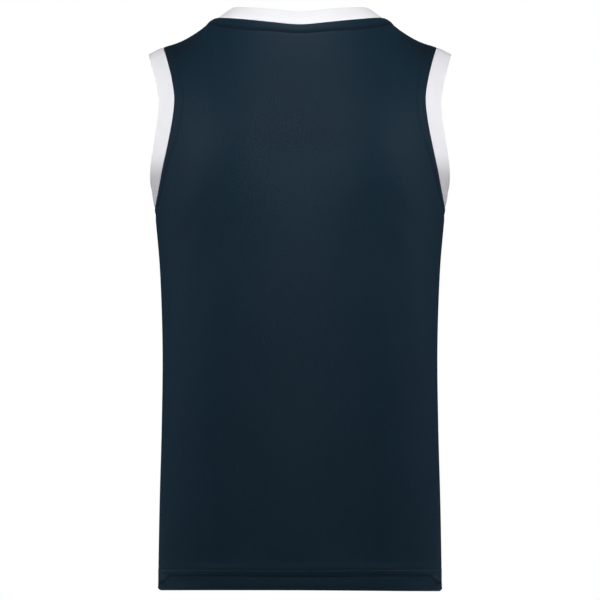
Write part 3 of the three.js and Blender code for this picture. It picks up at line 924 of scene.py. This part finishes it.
def navy_finish():
    """colour = mix(dark, light, lattice), lattice = 0.5 + lean cos(a) + (0.5 - lean) cos(b). The set of
    lines with the larger share shows more. It changes at the middle and at 610 mm above the hem."""
    knit = Finish(bpy.data.materials.new("navy_birdseye_knit"))
    across, up = knit.uv()
    across, up = across * 1000, up * 1000
    s, c = math.sin(KNIT_SLANT), math.cos(KNIT_SLANT)
    falling = ((across * s - up * c) * (2 * math.pi / KNIT_PITCH)).cos()
    rising = ((across * s + up * c) * (2 * math.pi / KNIT_PITCH)).cos()
    cloud, wander = knit.cloud(9, 3), knit.cloud(6, 0)
    change = (across / MIDDLE_BLEND).tanh() * ((TURN_HEIGHT - up) * (1 / TURN_BLEND)).tanh()
    lean = change * wander * 0.32 + 0.25
    lattice = falling * lean + rising * (0.5 - lean) + 0.5
    shade = knit.node("ShaderNodeAttribute", {"attribute_name": "shade"}, output=2)
    cloth_colour = knit.mix(lattice * 0.6 + cloud * 0.3 + 0.1, NAVY["dark"], NAVY["light"])
    bump = knit.node("ShaderNodeBump", {}, {"Strength": 0.35, "Distance": 0.0004, "Height": lattice})
    return knit.finish(
        # painted shade: where the shade field is high, the colour is mixed towards near black
        Base_Color=knit.mix(shade * 0.85, cloth_colour, NAVY["painted_shade"]),
        Roughness=0.56 - lattice * 0.1 + shade * 0.4,
        Normal=bump,
        Specular_IOR_Level=0.105,
        Sheen_Weight=0.03,
        Sheen_Roughness=0.5,
        Sheen_Tint=(0.35, 0.6, 0.85, 1),
    )


navy = navy_finish()
print("navy nodes", len(navy.node_tree.nodes))

# %% [markdown]
# ## White band knit
# The bands are cut from a plain white knit with fine ribs across the band. The ribs are a cosine of the
# distance along the loop, too fine to see one by one, with a faint unevenness over them. The low end of
# an armhole band, under the arm, is greyer than the rest: a painted shade, as in the photograph.

# %% The white finish
RIB_PITCH, ROW_PITCH = 1.3, 0.9
WHITE = {
    "clean": (0.79, 0.79, 0.825, 1),
    "dull": (0.65, 0.65, 0.68, 1),
    "underarm_shade_grey": (0.40, 0.385, 0.40, 1),
}


def white_finish():
    """colour = mix(painted shade under the arm, mix(tone, light grey, white), grey), with tone = 0.5 +
    0.15 ribs + 0.1 rows + 0.3 cloud, ribs = 0.5 + 0.5 cos(2 pi * along / 1.3 mm) and rows the same over
    the band at 0.9 mm. The last grey is painted shade."""
    knit = Finish(bpy.data.materials.new("white_band_knit"))
    run, over = knit.uv()
    ribs = (run * (1000 * 2 * math.pi / RIB_PITCH)).cos() * 0.5 + 0.5
    rows = (over * (1000 * 2 * math.pi / ROW_PITCH)).cos() * 0.5 + 0.5
    cloud = knit.cloud(40, 2)
    underarm_shade = knit.node("ShaderNodeAttribute", {"attribute_name": "underarm_shade"}, output=2)
    tone = ribs * 0.15 + rows * 0.1 + cloud * 0.3 + 0.5
    white_colour = knit.mix(tone, WHITE["dull"], WHITE["clean"])
    relief = ribs + rows * 0.5
    bump = knit.node("ShaderNodeBump", {}, {"Strength": 0.25, "Distance": 0.0003, "Height": relief})
    return knit.finish(
        # painted shade: the bands' low ends under the arm are mixed towards grey
        Base_Color=knit.mix(underarm_shade * 0.8, white_colour, WHITE["underarm_shade_grey"]),
        Roughness=0.86 - ribs * 0.08,
        Normal=bump,
        Specular_IOR_Level=0.15,
        Sheen_Weight=0.05,
        Sheen_Roughness=0.6,
    )


white = white_finish()
print("white nodes", len(white.node_tree.nodes))

# %% [markdown]
# ## Thread
# The topstitches are polyester thread, twisted from a few yarns and bedded in the cloth, so it hardly
# shines. The photograph shows three shades, made here as lit and shaded copies of one navy thread:
# painted shade makes it darkest at the neck and on the lower hem row, where it lies in grooves, the
# armholes keep the cloth's own navy, and a painted highlight makes it paler on the upper hem row, which
# stands out most. The twist is a slanting cosine on the stitch's own UV map.

# %% The thread finishes


def thread_finish(name, light, dark, roughness):
    """colour = mix(dark, light, twist), twist = 0.5 + 0.5 cos(along * 9000 + round * 2000). On the UV map
    along is in metres, and round is a thousandth of the angle round the stitch."""
    thread = Finish(bpy.data.materials.new(name))
    run, round_it = thread.uv()
    twist = (run * 9000 + round_it * 2000).cos() * 0.5 + 0.5
    return thread.finish(
        Base_Color=thread.mix(twist, dark, light),
        Roughness=roughness - twist * 0.1,
        Specular_IOR_Level=0.02,
    )


# painted shade and painted highlight: one navy thread, darkened where it lies in grooves and made paler
# where it stands out
# light, dark, roughness
THREADS = {
    "thread_in_painted_shade": ((0.0012, 0.0070, 0.0130, 1), (0.0006, 0.0040, 0.0080, 1), 0.7),
    "matched_thread": ((0.0085, 0.0240, 0.0380, 1), (0.0040, 0.0130, 0.0220, 1), 0.6),
    "thread_with_painted_highlight": ((0.034, 0.080, 0.108, 1), (0.016, 0.042, 0.060, 1), 0.6),
}
threads = {name: thread_finish(name, *values) for name, values in THREADS.items()}
print("threads", list(threads))

# %% [markdown]
# ## Finishes on pieces
# Each cloth piece takes the place of its solid in the imported model, which is hidden, and takes the navy
# or the white finish. Each row of stitches takes its thread. The bands' sizes are those of what shows,
# all round.

# %% Assign finishes
# the neck and the lower hem row take the thread in painted shade, the upper hem row the one with a
# painted highlight
THREAD_OF = {"neck": "thread_in_painted_shade", "armhole": "matched_thread", "lower": "thread_in_painted_shade",
             "upper": "thread_with_painted_highlight"}
for node, piece in cloth.items():
    piece.data.materials.append(navy if node.endswith("panel") else white)
    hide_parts(node)
for name, piece in stitches.items():
    piece.data.materials.append(threads[THREAD_OF[ROW_LINES[name][2]]])

# %% [markdown]
# ## Floor
# A pale floor lies a little below the hem and stays out of the main view. What the camera sees of it
# glows softly, so that it stays pale far from the lights. A second plane just under it, which the camera
# doesn't see, throws the lights' glow back up at the cloth.

# %% The floor
FLOOR_Z = -0.93


def floor_finish(name, glow):
    """A pale matt floor with a faint cloudiness and a given glow."""
    paint = Finish(bpy.data.materials.new(name))
    cloud = paint.cloud(1.5, 2)
    return paint.finish(
        Base_Color=paint.mix(cloud, (0.84, 0.84, 0.85, 1), (0.9, 0.9, 0.9, 1)),
        Roughness=0.9 - cloud * 0.05,
        Emission_Color=(0.86, 0.86, 0.87, 1),
        Emission_Strength=glow,
    )


def floor_plane(name, z, glow):
    """A flat plane under the jersey."""
    corners = [[-3, -3.5, z], [3, -3.5, z], [3, 2.6, z], [-3, 2.6, z]]
    mesh = bpy.data.meshes.new(name)
    mesh.from_pydata(corners, [], [[0, 1, 2, 3]])
    mesh.materials.append(floor_finish(f"{name}_paint", glow))
    plane = add_object(name, mesh)
    return plane


floor = floor_plane("floor", FLOOR_Z, 0.55)
floor.visible_diffuse = floor.visible_glossy = floor.visible_shadow = False
floor_plane("floor_bounce", FLOOR_Z - 0.002, 0).visible_camera = False
print("floor at", FLOOR_Z, "m")

# %% [markdown]
# ## Light
# The photograph is lit from the camera's side at the height of the shoulders, so the cloth darkens
# towards the hem and on the tops of the shoulders, and from both sides, so its edges are a little
# brighter again. A table of soft area lights does that. Dark cloth shows mostly gloss and white cloth
# mostly matt light, so each place has two powers: one for a light that makes no gloss and one for a
# light that makes nothing else. Two weak, narrow lights brighten the sides of the neck band. The world
# is white to the camera and dim grey to everything else.

# %% Lights


def soft_light(name, place, aim, size, power):
    """An area light at a place, facing another, that the camera doesn't see."""
    lamp = bpy.data.lights.new(name, "AREA")
    lamp.shape = "RECTANGLE"
    lamp.size, lamp.size_y = size
    lamp.energy = power
    light = add_object(name, lamp)
    way = np.array(aim, float) - np.array(place, float)
    flat = math.hypot(way[0], way[1])
    light.location = place
    light.rotation_euler = (math.atan2(flat, -way[2]), 0, math.atan2(-way[0], way[1]))
    light.visible_camera = False
    return light


# name, place, aim, size, watts that light matt cloth, watts that give it a gloss
LIGHTS = [
    ("high", (0, -1.0, 0.6), (0, 0, -0.05), (0.4, 0.3), 8.7, 3.2),
    ("level", (0, -0.8, 0), (0, 0, -0.15), (0.4, 0.3), 2.8, 0),
    ("low", (0, -0.9, -0.25), (0, 0, -0.25), (0.4, 0.3), 0, 1.7),
    ("top", (0, -0.3, 0.9), (0, -0.05, 0), (0.4, 0.3), 0, 4.2),
    ("left_side", (-0.95, 0, -0.2), (0, 0, -0.25), (0.35, 0.7), 5.2, 1.5),
    ("right_side", (0.95, 0, -0.2), (0, 0, -0.25), (0.35, 0.7), 5.2, 1.5),
    ("left_corner", (-0.9, -0.6, 0.1), (0, 0, -0.1), (0.35, 0.5), 0, 2.7),
    ("right_corner", (0.9, -0.6, 0.1), (0, 0, -0.1), (0.35, 0.5), 0, 2.7),
    ("far", (0, 1.25, 0.1), (0, 0, -0.2), (0.4, 0.3), 13.0, 4.0),
]
for name, place, aim, size, matt, gloss in LIGHTS:
    if matt:
        soft_light(f"{name}_matt_light", place, aim, size, matt).visible_glossy = False
    if gloss:
        soft_light(f"{name}_gloss_light", place, aim, size, gloss).visible_diffuse = False
for name, x in (("left", -0.7), ("right", 0.7)):
    neck_light = soft_light(f"{name}_neck_light", (x, -0.15, 0.45), (0, -0.03, 0.02), (0.1, 0.1), 0.02)
    neck_light.data.spread = math.radians(20)
    neck_light.visible_glossy = False

# %% World
WORLD_DIM, WORLD_SEEN = 0.02, 1.0
world = bpy.data.worlds.new("studio")
bpy.context.scene.world = world
studio = Finish(world)
dim, bright = (
    studio.node("ShaderNodeBackground", {}, {"Color": (1, 1, 1, 1), "Strength": strength})
    for strength in (WORLD_DIM, WORLD_SEEN)
)
camera_ray = studio.node("ShaderNodeLightPath")
blend = studio.node("ShaderNodeMixShader", {}, {0: camera_ray, 1: dim, 2: bright})
studio.node("ShaderNodeOutputWorld", {}, {"Surface": blend})
bpy.context.scene.view_settings.view_transform = "Standard"
print("world nodes", len(studio.tree.nodes))

# %% [markdown]
# ## Camera
# The camera stands 6 m behind the jersey, level, so the back is seen almost without perspective. Its
# lens makes the picture 768 mm wide at the plane of the side seams, as in the photograph.

# %% The camera
DISTANCE, PICTURE, CAMERA_Z = 6.0, 0.768, -0.338
camera = add_object("camera", bpy.data.cameras.new("camera"))
camera.data.sensor_width = 36
camera.data.lens = 36 * DISTANCE / PICTURE
camera.location = (0, -DISTANCE, CAMERA_Z)
camera.rotation_euler = (math.radians(90), 0, 0)
bpy.context.scene.camera = camera
print("lens", camera.data.lens, "mm")
